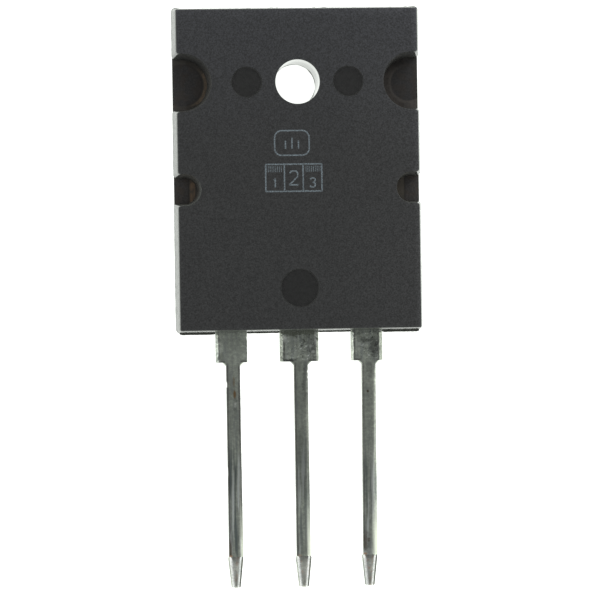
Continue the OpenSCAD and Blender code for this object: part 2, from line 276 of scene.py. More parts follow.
def epoxy(name, shade, rough, grain, tint=(0.975, 1.0, 1.005), contrast=0.30, sparkle=0.5, brown=0.0, face=False, spec=0.5, low=1.0, fore=1.0, stained=False):
    """Moulded epoxy: black resin full of fine silica, as a matte or a polished mould leaves it.
    low: painted light that brightens the small notches, fore: painted highlight on the bore's front part."""
    m, t, b = new_material(name)
    p = t.place()
    xyz = t.axes(p)
    fine = t.noise(p, 9.5, 1.5, 0.65)
    grit = t.noise(p, 17.0, 1.0, 0.5)
    patch = t.noise(p, 4.2, 1.0, 0.5)
    broad = t.noise(p, 0.33, 3.0, 0.55)
    base = t.mix(t.span(fine, 0.34, 0.66, smooth=False), grey(shade * (1 - contrast), *tint), grey(shade * (1 + contrast), *tint))
    base = t.mix(t.span(patch, 0.35, 0.65, 0.0, contrast * 0.4), base, grey(0.6, 1.0, 1.0, 1.0), "MULTIPLY")
    base = t.mix(t.span(broad, 0.35, 0.65, 0.0, 1.0), base, grey(1.07, 1.0, 1.0, 0.99), "MULTIPLY")
    if face:
        # painted light: the face is lighter and bluer towards the hole's end and lighter to the right, as the lamps
        # fall on it, and it is made lighter along its edges
        base = t.mix(t.span(xyz[1], -8.0, 6.0), base, grey(1.25, 0.99, 1.0, 1.11), "MULTIPLY")
        base = t.mix(t.span(xyz[0], 0.5, 9.5), base, grey(1.25, 1.01, 1.0, 1.0), "MULTIPLY")
        for axis, edge, sign, reach, power in ((0, FW, 1.0, 0.50, 0.75), (1, FT, 1.0, 0.95, 0.45), (0, -FW, -1.0, 0.35, 0.20), (1, FB, -1.0, 0.35, 0.16)):
            inward = t.math("MULTIPLY", t.math("SUBTRACT", edge, xyz[axis]), sign)
            base = t.mix(t.span(inward, reach, -0.05, smooth=False), base, grey(1.0 + power), "MULTIPLY")
    # single bright grains of filler that reach the surface
    v = t.n("ShaderNodeTexVoronoi", feature="F1")
    t.link(p, v.inputs["Vector"])
    v.inputs["Scale"].default_value = 5.2
    dots = t.span(v.outputs["Distance"], 0.05, 0.16, sparkle, 0.0)
    pick = t.span(t.noise(p, 2.3, 1.0), 0.50, 0.60)
    base = t.mix(t.math("MULTIPLY", dots, pick), base, grey(shade * 2.2, 1.0, 1.0, 1.0))
    if brown:
        # thin resin over the copper shows brown in places
        turn = t.noise(p, 1.6, 2.0)
        base = t.mix(t.span(turn, 0.42, 0.62, 0.0, brown), base, (0.045, 0.032, 0.022, 1.0))
    # painted light: the small notches are brightened against their deep shade
    if low != 1.0:
        base = t.mix(t.span(xyz[1], -5.0, -6.0), base, grey(low, 1.02, 1.0, 0.96), "MULTIPLY")
    if spec < 0.5:
        # painted shade: the notches' walls are darker at their upper ends; painted highlight: a light rim round the
        # small ones, stronger on the left
        base = t.mix(t.span(xyz[1], 0.2, 1.4), base, grey(0.62), "MULTIPLY")
        ends = t.math("MULTIPLY", t.span(xyz[1], -5.0, -5.5), t.span(xyz[1], -8.4, -7.9))
        base = t.mix(ends, base, grey(0.75), "MULTIPLY")
        rim = t.math("MULTIPLY", t.span(xyz[1], -7.7, -8.3), t.span(xyz[2], 3.5, 4.3, smooth=False))
        base = t.mix(t.math("MULTIPLY", rim, t.span(xyz[0], -1.0, 1.0, 1.0, 0.6)), base, (0.060, 0.063, 0.059, 1.0))
    if stained:
        base = notch_stains(t, xyz, base, t.span(t.noise(p, 2.1, 3.0, 0.6, 0.3), 0.36, 0.60, 0.35, 1.0))
    if fore != 1.0:
        # painted highlight: the bore's front part is lighter, standing in for its reflection of the bright floor
        base = t.mix(t.span(xyz[2], 1.2, 4.8, smooth=False), base, grey(fore, 1.0, 1.0, 1.0), "MULTIPLY")
        t.link(t.span(xyz[2], 2.0, 4.7, 0.0, 0.85), b.inputs["Coat Weight"])
        b.inputs["Coat Roughness"].default_value = 0.05
    t.link(base, b.inputs["Base Color"])
    t.link(t.span(t.noise(p, 3.1, 3.0), 0.3, 0.7, rough - 0.05, rough + 0.05), b.inputs["Roughness"])
    b.inputs["IOR"].default_value = 1.55
    b.inputs["Specular IOR Level"].default_value = spec
    bump = t.n("ShaderNodeBump")
    bump.inputs["Strength"].default_value = grain
    bump.inputs["Distance"].default_value = 0.00002
    height = t.math("ADD", t.math("MULTIPLY", fine, 0.7), t.math("MULTIPLY", grit, 0.3))
    t.link(height, bump.inputs["Height"])
    t.link(bump.outputs["Normal"], b.inputs["Normal"])
    return m


def tin(name, x0=0.0, lean=0.0, dull=1.0, copper=0.0, stains_and_painted_light=(), rough=0.40, seed=0.0, edges=(0.6, 0.6), mid=(0.5, 0.9), half=(1.265, 0.56),
        fade=0.0, zones=(), mottle=None, tint=(0.955, 1.03, 0.885), glow=(0.0, 0.3)):
    """Matte tin over copper. Painted shade darkens the edges, and long streaks run down the free length.
    Each stain or painted spot: (x, y, radius x, radius y, colour, strength), with ragged outlines; among them are real
    stain spots, painted glints and painted shade lines."""
    m, t, b = new_material(name)
    p = t.place(loc=(seed, seed * 0.37, 0.0))
    own = t.place()
    xyz = t.axes(own)
    long = t.place(scale=(1000.0, 110.0, 1000.0), loc=(seed, 0.0, 0.0))
    thin = t.place(scale=(1350.0, 62.0, 1000.0), loc=(seed * 2, 0.0, 0.0))
    fine = t.noise(p, 8.0, 3.0, 0.65)
    grit = t.noise(p, 4.0, 3.0, 0.7)
    cloud = t.noise(p, 0.8, 3.0, 0.55)
    base = t.mix(t.span(cloud, 0.35, 0.65), grey(0.40 * dull, *tint), grey(0.50 * dull, *tint))
    base = t.mix(t.span(grit, 0.44, 0.64, 0.0, 0.55), base, grey(0.27 * dull, 0.96, 1.0, 0.94))
    base = t.mix(t.span(grit, 0.46, 0.30, 0.0, 0.50), base, grey(0.72 * dull, *tint))
    base = t.mix(t.span(t.noise(long, 2.6, 3.0, 0.6), 0.48, 0.64, 0.0, 0.45), base, grey(0.28 * dull, 0.93, 1.0, 1.0))
    # streaks of the lower free length: dark and bluish, beside bright ones
    down = t.math("MULTIPLY", t.span(xyz[1], -27.0, -31.5), t.span(xyz[1], -38.6, -37.4))
    lines = t.noise(thin, 2.9, 2.0, 0.55)
    base = t.mix(t.math("MULTIPLY", down, t.span(lines, 0.51, 0.62, 0.0, mid[1])), base, (0.70 * dull, 0.74 * dull, 0.71 * dull, 1.0))
    base = t.mix(t.math("MULTIPLY", down, t.span(lines, 0.49, 0.39, 0.0, mid[0])), base, (0.150 * dull, 0.176 * dull, 0.172 * dull, 1.0))
    # brightness from zone to zone down the lead: (y of the top end, y of the low end, factor); the first zone, at the
    # shoulders by the body, is painted light against the body's shade
    for y0, y1, factor in zones:
        s0, s1 = (0.25 if y > -23.0 else 1.1 for y in (y0, y1))
        base = t.mix(t.math("MULTIPLY", t.span(xyz[1], y0 + s0, y0 - s0), t.span(xyz[1], y1 - s1, y1 + s1)), base, grey(factor), "MULTIPLY")
    # pits and scuffs on the shoulder: (strength, x where they are weak, x where they are strong)
    if mottle:
        spots = t.noise(p, 3.6, 3.0, 0.75, 0.8)
        area = t.math("MULTIPLY", t.span(xyz[1], -22.36, -22.2), t.span(xyz[0], mottle[1], mottle[2], 0.35, 1.0))
        base = t.mix(t.math("MULTIPLY", area, t.span(spots, 0.53, 0.64, 0.0, mottle[0])), base, grey(0.30, 1.0, 1.0, 0.95), "MULTIPLY")
        base = t.mix(t.math("MULTIPLY", area, t.span(spots, 0.42, 0.33, 0.0, mottle[0])), base, grey(2.5, 1.0, 1.0, 1.0), "MULTIPLY")
    # painted shade: dark lines along the lead's rolled edges
    axis = t.math("MULTIPLY", t.math("MINIMUM", t.math("ADD", xyz[1], 22.36), 0.0), lean)
    u = t.math("SUBTRACT", t.math("SUBTRACT", xyz[0], x0 + AHEAD), axis)
    w = t.span(xyz[1], -22.33, -22.37, half[0], half[1], smooth=False)
    ragged = t.math("MULTIPLY", t.math("SUBTRACT", t.noise(long, 5.0, 3.0, 0.7), 0.5), 0.16)
    free = t.span(xyz[1], -22.3, -22.8)
    if edges[0]:
        # painted shade along the shoulder's lower ends
        ledge = t.math("MULTIPLY", t.span(xyz[1], -22.14, -22.28), t.span(t.math("ABSOLUTE", u), 0.56, 0.70))
        base = t.mix(t.math("MULTIPLY", ledge, t.span(fine, 0.30, 0.55, 0.35, 0.8)), base, grey(0.16 * dull, 1.0, 1.0, 0.95))
    for side, power in ((-1, edges[0]), (1, edges[1])):
        d = t.math("ADD", t.math("SUBTRACT", w, t.math("MULTIPLY", u, float(side))), ragged)
        if power:
            here = t.math("MULTIPLY", free, t.span(xyz[1], -37.2, -36.2)) if side > 0 else free
            base = t.mix(t.math("MULTIPLY", here, t.span(d, 0.10, 0.21, power, 0.0)), base, grey(0.12 * dull, 1.0, 1.0, 0.95))
    if glow[0]:
        # painted highlight: a pale band along the right edge of the lower free length
        d = t.math("SUBTRACT", w, u)
        down = t.math("MULTIPLY", t.span(xyz[1], -33.0, -37.0), t.span(d, glow[1], 0.05, 0.0, glow[0]))
        base = t.mix(down, base, grey(0.97, 0.955, 1.0, 0.86))
    # stain spots, with painted glints and painted shade lines among them
    shift = t.n("ShaderNodeTexNoise")
    t.link(p, shift.inputs["Vector"])
    shift.inputs["Scale"].default_value = 2.6
    shift.inputs["Detail"].default_value = 3.0
    shift.inputs["Roughness"].default_value = 0.7
    moved = t.n("ShaderNodeVectorMath", operation="MULTIPLY_ADD")
    t.link(shift.outputs["Color"], moved.inputs[0])
    moved.inputs[1].default_value = (0.9, 0.9, 0.0)
    far = t.place(loc=(-0.45, -0.45, 0.0))
    t.link(far, moved.inputs[2])
    bent = t.axes(moved.outputs[0])
    for x, y, rx, ry, colour, power in stains_and_painted_light:
        tiny = rx < 0.2
        blot = t.spot(xyz if tiny else bent, x, y, rx, ry, 0.45)
        patch = t.math("MULTIPLY", blot, t.span(fine, 0.30, 0.50, 0.45 if not tiny else 0.8, 1.0))
        base = t.mix(t.math("MULTIPLY", patch, power), base, colour)
    if copper:
        base = t.mix(t.span(t.noise(p, 2.6, 3.0), 0.50, 0.68, 0.0, copper), base, (0.62, 0.36, 0.24, 1.0))
    if fade:
        # painted light and shade: the coined tip is darker at its top and towards its end
        base = t.mix(t.span(xyz[1], -39.0, -40.3, 0.0, fade), base, grey(0.45, *tint))
        base = t.mix(t.span(xyz[1], -38.75, -38.05), base, grey(0.50), "MULTIPLY")
    t.link(base, b.inputs["Base Color"])
    b.inputs["Metallic"].default_value = 1.0
    t.link(t.span(fine, 0.3, 0.75, rough - 0.07, rough + 0.12), b.inputs["Roughness"])
    bump = t.n("ShaderNodeBump")
    bump.inputs["Strength"].default_value = 0.5
    bump.inputs["Distance"].default_value = 0.000012
    t.link(t.math("ADD", t.math("MULTIPLY", fine, 0.6), t.math("MULTIPLY", grit, 0.6)), bump.inputs["Height"])
    t.link(bump.outputs["Normal"], b.inputs["Normal"])
    return m


MAT = {}
MAT["epoxy"] = epoxy("epoxy_matte", 0.0240, 0.58, 0.55, tint=(0.970, 0.992, 1.025), contrast=0.55, sparkle=0.7, face=True)
MAT["epoxy_smooth"] = epoxy("epoxy_polished_mark", 0.0170, 0.40, 0.12, tint=(1.0, 0.99, 0.975), contrast=0.25, sparkle=0.1)
MAT["epoxy_wall"] = epoxy("epoxy_drafted_wall", 0.040, 0.22, 0.08, tint=(0.95, 1.05, 0.92), contrast=0.15, sparkle=0.1)
# the notch floors are lighter than the face: thin resin over copper, with painted light against the walls' shade
MAT["epoxy_notch"] = epoxy("epoxy_notch_floor", 0.033, 0.55, 0.30, tint=(1.05, 0.98, 0.99), contrast=0.35, sparkle=0.1, brown=0.4, low=1.6, stained=True)
MAT["epoxy_notch_wall"] = epoxy("epoxy_notch_wall", 0.036, 0.80, 0.20, tint=(0.99, 1.0, 0.97), contrast=0.35, sparkle=0.1, brown=0.2, spec=0.2, low=1.25)
MAT["epoxy_bore"] = epoxy("epoxy_bore", 0.060, 0.07, 0.05, tint=(0.97, 1.03, 0.92), contrast=0.10, sparkle=0.0, fore=2.0)
MAT["epoxy_flash"] = epoxy("epoxy_trimmed_web", 0.050, 0.75, 1.0, tint=(1.0, 1.03, 0.88), contrast=0.35, sparkle=0.8)
OLIVE = (0.20, 0.215, 0.17, 1.0)
RUST = (0.26, 0.15, 0.055, 1.0)
DARK = (0.115, 0.12, 0.115, 1.0)
PALE = (0.80, 0.83, 0.78, 1.0)
BROWN = (0.17, 0.125, 0.095, 1.0)
COPPER = (0.75, 0.47, 0.30, 1.0)
MAT["tin_base"] = tin("tinned_copper_base_lead", -5.46, 0.0, dull=1.12, seed=3.1, edges=(0.9, 0.85), mid=(0.85, 0.85), glow=(0.6, 0.3),
                      zones=((-19.0, -22.3, 1.24), (-33.2, -38.2, 1.22)), mottle=(0.12, -7.0, -4.0), stains_and_painted_light=(
    (-5.46, -20.0, 1.6, 0.12, OLIVE, 0.2), (-6.35, -21.9, 0.18, 0.35, OLIVE, 0.4),
    # painted shade: the two long thin DARK lines lie in the shoulder's creases
    (-6.555, -21.2, 0.07, 1.2, DARK, 0.6), (-4.29, -21.2, 0.06, 1.2, DARK, 0.6),
    (-5.27, -25.65, 0.09, 0.11, PALE, 0.7), (-5.30, -26.15, 0.13, 0.22, DARK, 0.35), (-5.33, -24.92, 0.11, 0.32, RUST, 0.85), (-5.38, -23.9, 0.09, 0.40, RUST, 0.45),
    # painted glints on the chamfers
    (-6.22, -22.5, 0.10, 0.10, PALE, 0.8), (-4.62, -22.5, 0.10, 0.10, PALE, 0.7),
    (-5.30, -25.85, 0.10, 0.16, PALE, 0.35), (-5.25, -25.4, 0.16, 0.25, DARK, 0.35),
    (-5.84, -37.4, 0.12, 0.75, BROWN, 0.6), (-5.82, -37.95, 0.13, 0.10, COPPER, 0.7)))
MAT["tin_centre"] = tin("tinned_copper_centre_lead", 0.0, 0.0, dull=1.12, seed=7.7, edges=(0.85, 0.45), mid=(0.55, 0.65), half=(1.55, 0.56), glow=(0.75, 0.5),
                        zones=((-19.0, -22.3, 1.20), (-22.3, -28.3, 0.88), (-28.3, -33.2, 0.77), (-33.2, -38.2, 1.20)), mottle=(1.0, -1.2, 0.6), stains_and_painted_light=(
    (0.0, -20.05, 2.0, 0.20, OLIVE, 0.9), (0.75, -20.9, 0.7, 0.7, DARK, 0.35), (1.15, -21.5, 0.32, 0.8, DARK, 0.6), (1.38, -21.9, 0.12, 0.45, DARK, 0.5),
    # painted shade: the thin DARK lines at x -1.33 here and x 1.38 above lie in the shoulder's creases
    (-0.9, -22.27, 0.50, 0.13, DARK, 0.9), (-1.33, -21.4, 0.12, 0.9, DARK, 0.8), (-1.15, -20.6, 0.30, 0.30, PALE, 0.45),
    # painted glints on the chamfers
    (-0.76, -22.5, 0.10, 0.10, PALE, 0.6), (0.84, -22.5, 0.10, 0.10, PALE, 0.6),
    (0.85, -21.15, 0.12, 0.10, PALE, 0.5), (-0.45, -20.65, 0.20, 0.10, PALE, 0.4),
    (1.05, -21.6, 0.14, 0.12, PALE, 0.5), (1.30, -20.5, 0.14, 0.50, PALE, 0.85), (-1.08, -22.0, 0.14, 0.16, PALE, 0.4),
    (0.33, -24.0, 0.2, 1.6, DARK, 0.5), (-0.28, -38.0, 0.14, 0.10, COPPER, 0.4)))
MAT["tin_emitter"] = tin("tinned_copper_emitter_lead", 5.49, 0.00698, dull=1.12, seed=12.9, edges=(0.6, 0.0), mid=(0.6, 0.8), glow=(1.0, 0.55),
                         zones=((-19.0, -22.3, 1.17), (-28.3, -33.2, 1.02), (-33.2, -38.2, 1.04)), mottle=(0.95, 4.2, 6.0), stains_and_painted_light=(
    (5.3, -20.05, 1.0, 0.14, DARK, 0.35), (6.05, -21.3, 0.50, 0.8, DARK, 0.70), (5.25, -20.75, 0.45, 0.25, DARK, 0.4),
    # painted glint at y -22.5 on the chamfer; painted shade: the two long thin DARK lines lie in the shoulder's creases
    (4.70, -22.5, 0.11, 0.11, PALE, 0.95), (6.37, -21.2, 0.10, 1.2, DARK, 0.6), (4.36, -21.2, 0.10, 1.3, DARK, 0.85), (4.70, -21.0, 0.25, 0.35, PALE, 0.3), (5.15, -21.05, 0.5, 0.10, PALE, 0.3),
    (5.41, -24.85, 0.10, 0.11, (0.135, 0.110, 0.080, 1.0), 0.95),
    (5.55, -23.1, 0.3, 0.7, DARK, 0.35), (5.08, -36.9, 0.20, 0.7, BROWN, 0.60), (5.25, -37.85, 0.50, 0.28, PALE, 0.5), (5.03, -37.95, 0.14, 0.08, COPPER, 0.8)))
# painted light and shade: the tip's face and its bevels are lighter copies of the tin, the lead's sides and the tip's
# rims darker copies, the right rim darker than the left
MAT["tin_tip"] = tin("coined_tin_tip_painted_light", dull=1.98, copper=0.45, rough=0.42, seed=5.5, edges=(0.0, 0.0), fade=0.7, tint=(0.985, 1.0, 0.90))
MAT["tin_bevel"] = tin("coined_tin_bevel_painted_highlight", dull=2.25, copper=0.08, rough=0.20, seed=9.5, edges=(0.0, 0.0), tint=(0.985, 1.0, 0.97))
MAT["tin_side"] = tin("sheared_copper_side_painted_shade", dull=0.80, copper=0.25, rough=0.45, seed=4.4, edges=(0.0, 0.0))
MAT["rim_left"] = tin("coined_tip_edge_left_painted_shade", dull=1.15, copper=0.1, rough=0.35, seed=1.4, edges=(0.0, 0.0))
MAT["rim_right"] = tin("coined_tip_edge_right_painted_shade", dull=0.40, copper=0.1, rough=0.35, seed=6.4, edges=(0.0, 0.0))
# painted light and shade: the shoulders' sloped strips are lighter or darker copies of the tin, set apart for each lead
# and side
for key, dull in (("base", 1.38), ("centre", 0.95), ("centre_right", 1.15), ("emitter", 1.75), ("emitter_right", 1.35)):
    MAT["edge_" + key] = tin("sheared_tin_edge_painted_light_" + key, dull=dull, rough=0.34, seed=2.2, edges=(0.0, 0.0), mottle=(0.9 if "centre" in key else 0.35, -9.0, -8.0))


# ---------------------------------------------------------------- mesh helpers
def finish_mesh(name, bm, mats, node=None, slot=None, angle=32.0):
    bmesh.ops.recalc_face_normals(bm, faces=bm.faces)
    field = bm.faces.layers.int.get("field")
    for f in bm.faces:
        f.smooth = True
    for e in bm.edges:
        ends = [f[field] for f in e.link_faces] if field else [0]
        e.smooth = len(e.link_faces) == 2 and e.calc_face_angle(0.0) < math.radians(angle) and len(set(ends)) == 1
    me = bpy.data.meshes.new(name)
    bm.to_mesh(me)
    bm.free()
    for m in mats:
        me.materials.append(m)
    o = bpy.data.objects.new(name, me)
    bpy.context.collection.objects.link(o)
    w = o.modifiers.new("weighted", "WEIGHTED_NORMAL")
    w.weight = 100
    w.keep_sharp = True
    if node:
        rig.replaces(o, node)
    if slot:
        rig.slot(o, slot)
    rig.ride(o, "root")
    return o


def wall_mat(i):
    """The drafted walls are smoother than the walls of the notches."""
    return 4 if outline[i][0] in ("arc", "wall") and outline[(i + 1) % N][0] in ("arc", "wall") else 2


def loop_between(bm, a, b, mat=0):
    """Quads between two rings of vertices with the same count, skipping those that share both ends."""
    n = len(a)
    for i in range(n):
        j = (i + 1) % n
        vs = []
        for v in (a[i], a[j], b[j], b[i]):
            if v not in vs:
                vs.append(v)
        if len(vs) > 2:
            try:
                bm.faces.new(vs).material_index = mat(i) if callable(mat) else mat
            except ValueError:
                pass


def fill(bm, z, loops, keep, mat_of, extra=()):
    """A flat field at height z between loops of existing vertices. keep(x, y) says where the field is, mat_of(x, y) its material."""
    pts, edges, src = [], [], []
    for loop in loops:
        k = len(pts)
        pts += [Vector((v.co.x / MM, v.co.y / MM)) for v in loop]
        src += list(loop)
        edges += [(k + i, k + (i + 1) % len(loop)) for i in range(len(loop))]
    for line in extra:
        k = len(pts)
        pts += [Vector(q) for q in line]
        src += [None] * len(line)
        edges += [(k + i, k + i + 1) for i in range(len(line) - 1)]
    co, _, faces, orig, _, _ = delaunay_2d_cdt(pts, edges, [], 0, 1e-4)
    layer = bm.faces.layers.int.get("field") or bm.faces.layers.int.new("field")
    made, fresh = [], []
    for i, c in enumerate(co):
        known = next((src[k] for k in orig[i] if src[k] is not None), None)
        if known is None:
            known = bm.verts.new(Vector((c.x, c.y, z)) * MM)
            fresh.append(known)
        made.append(known)
    for f in faces:
        c = sum((co[i] for i in f), Vector((0, 0))) / len(f)
        if keep(c.x, c.y):
            try:
                face = bm.faces.new([made[i] for i in f])
                face.material_index = mat_of(c.x, c.y)
                face[layer] = 1
            except ValueError:
                pass
    for v in fresh:
        if not v.link_faces and not v.link_edges:
            bm.verts.remove(v)


def ring_of(bm, r, z, n, cx=0.0, cy=0.0, wobble=0.0, seed=0.0):
    out = []
    for i in range(n):
        a = 2 * math.pi * i / n
        rr = r + wobble * noise.noise(Vector((math.cos(a) * 3 + seed, math.sin(a) * 3, seed)))
        out.append(bm.verts.new(Vector((cx + rr * math.cos(a), cy + rr * math.sin(a), z)) * MM))
    return out


# ---------------------------------------------------------------- body
# Outline points, counter-clockwise seen from the front. Each is (kind, data) and turned into a place at height z.
def side_shift(z, n=(1, 0)):
    full = HW - FW if n[0] else TOP - FT if n[1] > 0 else FB - BOT
    return full * (BT - z) / (BT - PZ) if z >= PZ else full - (PZ - z) * TB


outline = []


def add_line(p, q, n, step=0.12):
    count = max(1, round(math.dist(p, q) / step))
    for i in range(1, count):
        t = i / count
        outline.append(("side", (p[0] + (q[0] - p[0]) * t, p[1] + (q[1] - p[1]) * t), n))


def add_corner(c, n1, n2):
    for i in range(9):
        a = math.pi / 2 * i / 8
        outline.append(("corner", c, (n1, n2, a)))


MOUTH = 0.24


def add_notch(key, side, upward):
    """Side +1 is the right wall, walked upward, and -1 the left one, walked downward."""
    cx, cy, rf, r0 = NOTCHES[key]
    d = 1 if upward else -1
    for i in range(7):                                        # rounded lip where the walk enters
        outline.append(("mouth", (key, side, -d), math.pi / 2 * i / 6))
    for i in range(3):                                        # straight wall
        outline.append(("wall", (key, side, -d), (i + 1) / 4))
    cross = math.acos((cx - PLATE_W) / r0)                    # where the plate's straight edge meets the floor's rim
    turns = [-math.pi / 2 + math.pi * i / 56 for i in range(57)]
    for c in (-cross, cross):
        turns[min(range(57), key=lambda i: abs(turns[i] - c))] = c
    for a in turns:                                           # round end
        outline.append(("arc", (key, side), d * a))
    for i in range(3):
        outline.append(("wall", (key, side, d), (3 - i) / 4))
    for i in range(7):
        outline.append(("mouth", (key, side, d), math.pi / 2 * (6 - i) / 6))


def mouth_y(key, s):
    cx, cy, rf, r0 = NOTCHES[key]
    return cy + s * (rf + MOUTH)


add_line((-FW, FB), (FW, FB), (0, -1))
add_corner((FW, FB), (0, -1), (1, 0))
add_line((FW, FB), (FW, mouth_y("low", -1)), (1, 0))
add_notch("low", 1, True)
add_line((FW, mouth_y("low", 1)), (FW, mouth_y("up", -1)), (1, 0))
add_notch("up", 1, True)
add_line((FW, mouth_y("up", 1)), (FW, FT), (1, 0))
add_corner((FW, FT), (1, 0), (0, 1))
add_line((FW, FT), (-FW, FT), (0, 1))
add_corner((-FW, FT), (0, 1), (-1, 0))
add_line((-FW, FT), (-FW, mouth_y("up", 1)), (-1, 0))
add_notch("up", -1, False)
add_line((-FW, mouth_y("up", -1)), (-FW, mouth_y("low", 1)), (-1, 0))
add_notch("low", -1, False)
add_line((-FW, mouth_y("low", -1)), (-FW, FB), (-1, 0))
add_corner((-FW, FB), (-1, 0), (0, -1))
# the straight lines stop short of the corners' roundings
outline = [o for o in outline if not (o[0] == "side" and min(
    math.dist(o[1], c) for c in ((FW, FB), (FW, FT), (-FW, FT), (-FW, FB))) < 0.44)]


def at(point, z):
    """Place and outward normal of an outline point at height z."""
    kind, a, b = point
    if kind == "side":
        s = side_shift(z, b)
        return (a[0] + b[0] * s, a[1] + b[1] * s), b
    if kind == "corner":
        n1, n2, ang = b
        r = 0.13 + 0.25 * min(1.0, max(0.0, (BT - z) / (BT - PZ)))
        n = (n1[0] * math.cos(ang) + n2[0] * math.sin(ang), n1[1] * math.cos(ang) + n2[1] * math.sin(ang))
        s1, s2 = side_shift(z, n1), side_shift(z, n2)
        return tuple(a[k] + n1[k] * (s1 - r) + n2[k] * (s2 - r) + n[k] * r for k in (0, 1)), n
    key, side = a[0], a[1]
    s = side_shift(z)
    cx, cy, rf, r0 = NOTCHES[key]
    r = r0 + (rf - r0) * (z - FLOOR) / (BT - FLOOR)
    if kind == "arc":
        # the wall's outward normal points to the middle of the notch
        return (side * (cx - r * math.cos(b)), cy + r * math.sin(b)), (side * math.cos(b), -math.sin(b))
    up = a[2]
    ex, ey = FW + s, cy + up * r                                 # where wall and side would meet
    if kind == "wall":
        x = (ex - MOUTH) + (cx - (ex - MOUTH)) * b
        return (side * x, ey), (0.0, -up)
    n = (side * math.cos(b), -up * math.sin(b))
    return (side * (ex - MOUTH + MOUTH * math.cos(b)), ey + up * MOUTH * (1 - math.sin(b))), n


# the same points where the body has no notch, spread along the side
spans = {}
for i, p in enumerate(outline):
    if p[0] in ("mouth", "wall", "arc"):
        spans.setdefault(p[1][:2], []).append(i)
plain = {}
for (key, side), idx in spans.items():
    ya, yb = at(outline[idx[0]], FLOOR)[0][1], at(outline[idx[-1]], FLOOR)[0][1]
    for k, i in enumerate(idx):
        plain[i] = (side * FW, ya + (yb - ya) * k / (len(idx) - 1))


def at_plain(i, z):
    if i in plain:
        x, y = plain[i]
        n = (math.copysign(1.0, x), 0.0)
        return (x + n[0] * side_shift(z), y), n
    return at(outline[i], z)


bm = bmesh.new()
N = len(outline)


def edge_kind(i):
    """0 for the sides and the bottom, 1 for the top, 2 for a notch."""
    return 2 if outline[i][0] in ("arc", "wall") else 1 if outline[i][0] == "side" and outline[i][2][1] > 0 else 0


def body_ring(z, inset=0.0, notched=True, rough=0.0, ridge=False):
    """inset and rough may each be one number or three, for the kinds of edge."""
    out = []
    for i in range(N):
        (x, y), n = at(outline[i], z) if notched else at_plain(i, z)
        r = inset[edge_kind(i)] if isinstance(inset, tuple) else inset
        k = rough[edge_kind(i)] if isinstance(rough, tuple) else rough
        if outline[i][0] in ("side", "corner") and not ridge:
            r += TRIM * max(0.0, n[1]) ** 2
        if k:
            r += k * (0.5 + 0.5 * wob(x, y, z, 0.35, 3.0)) + k * 0.6 * max(0.0, wob(x, y, z, 0.13, 9.0))
        out.append(bm.verts.new(Vector((x - n[0] * r, y - n[1] * r, z)) * MM))
    return out


# back face's edge up to the notches' floors
rings = [body_ring(0.0, 0.07, False, 0.01), body_ring(0.02, 0.03, False, 0.01), body_ring(0.07, 0.004, False)]
rings += [body_ring(z, 0.0, False) for z in (0.5, 1.0, 1.5, 1.85)]
rings.append(body_ring(FLOOR - 0.03, 0.0, False))
low_floor = body_ring(FLOOR, 0.02, False)
rings.append(low_floor)
for a, b in zip(rings, rings[1:]):
    loop_between(bm, a, b, 2)
# ring at the floor with the notches in it, sharing the plain ring's vertices where there is no notch
high_floor = []
for i in range(N):
    if i in plain:
        (x, y), n = at(outline[i], FLOOR)
        first_last = any(i in (idx[0], idx[-1]) for idx in spans.values())
        high_floor.append(low_floor[i] if first_last else bm.verts.new(Vector((x, y, FLOOR)) * MM))
    else:
        high_floor.append(low_floor[i])


def inside(loop, x, y):
    hit = False
    for a, b in zip(loop, loop[1:] + loop[:1]):
        if (a[1] > y) != (b[1] > y) and x < a[0] + (b[0] - a[0]) * (y - a[1]) / (b[1] - a[1]):
            hit = not hit
    return hit


def plate_outline(inset, r, n=10):
    """Plan of the plate: rounded corners and a round bite in each side, counter-clockwise."""
    w, t, b = PLATE_W - inset, PLATE_TOP - inset, PLATE_BOT + inset
    cx = NOTCHES["up"][0]
    a0 = math.atan2(math.sqrt(BITE ** 2 - (cx - w) ** 2), cx - w)
    yb = BITE * math.sin(a0)
    crossings = []
    for key in ("up", "low"):
        nx, ny, _, r0 = NOTCHES[key]
        h = math.sqrt(r0 ** 2 - (nx - w) ** 2)
        crossings += [ny - h, ny + h]
    out = []

    def corner(x, y, start):
        for i in range(n + 1):
            a = start + math.pi / 2 * i / n
            out.append((x + r * math.cos(a), y + r * math.sin(a)))

    def line(p, q, count):
        for i in range(1, count):
            out.append((p[0] + (q[0] - p[0]) * i / count, p[1] + (q[1] - p[1]) * i / count))

    def flank(side, y0, y1):
        """Straight edge from y0 to y1, with a point wherever it crosses the rim of a notch's floor."""
        stops = sorted([c for c in crossings if min(y0, y1) < c < max(y0, y1)], reverse=y1 < y0) if inset == 0 else []
        at_y = y0
        for stop in stops + [y1]:
            line((side * w, at_y), (side * w, stop), max(2, round(abs(stop - at_y) / 0.4)))
            if stop != y1:
                out.append((side * w, stop))
            at_y = stop
    corner(w - r, b + r, -math.pi / 2)
    flank(1, b + r, -yb)
    for i in range(41):
        a = -a0 + 2 * a0 * i / 40
        out.append((cx - BITE * math.cos(a), BITE * math.sin(a)))
    flank(1, yb, t - r)
    corner(w - r, t - r, 0)
    line((w - r, t), (-w + r, t), 40)
    corner(-w + r, t - r, math.pi / 2)
    flank(-1, t - r, yb)
    for i in range(41):
        a = a0 - 2 * a0 * i / 40
        out.append((-cx + BITE * math.cos(a), BITE * math.sin(a)))
    flank(-1, -yb, b + r)
    corner(-w + r, b + r, math.pi)
    line((-w + r, b), (w - r, b), 40)
    return out


def plan_ring(bm, plan, z):
    return [bm.verts.new(Vector((x, y, z)) * MM) for x, y in plan]


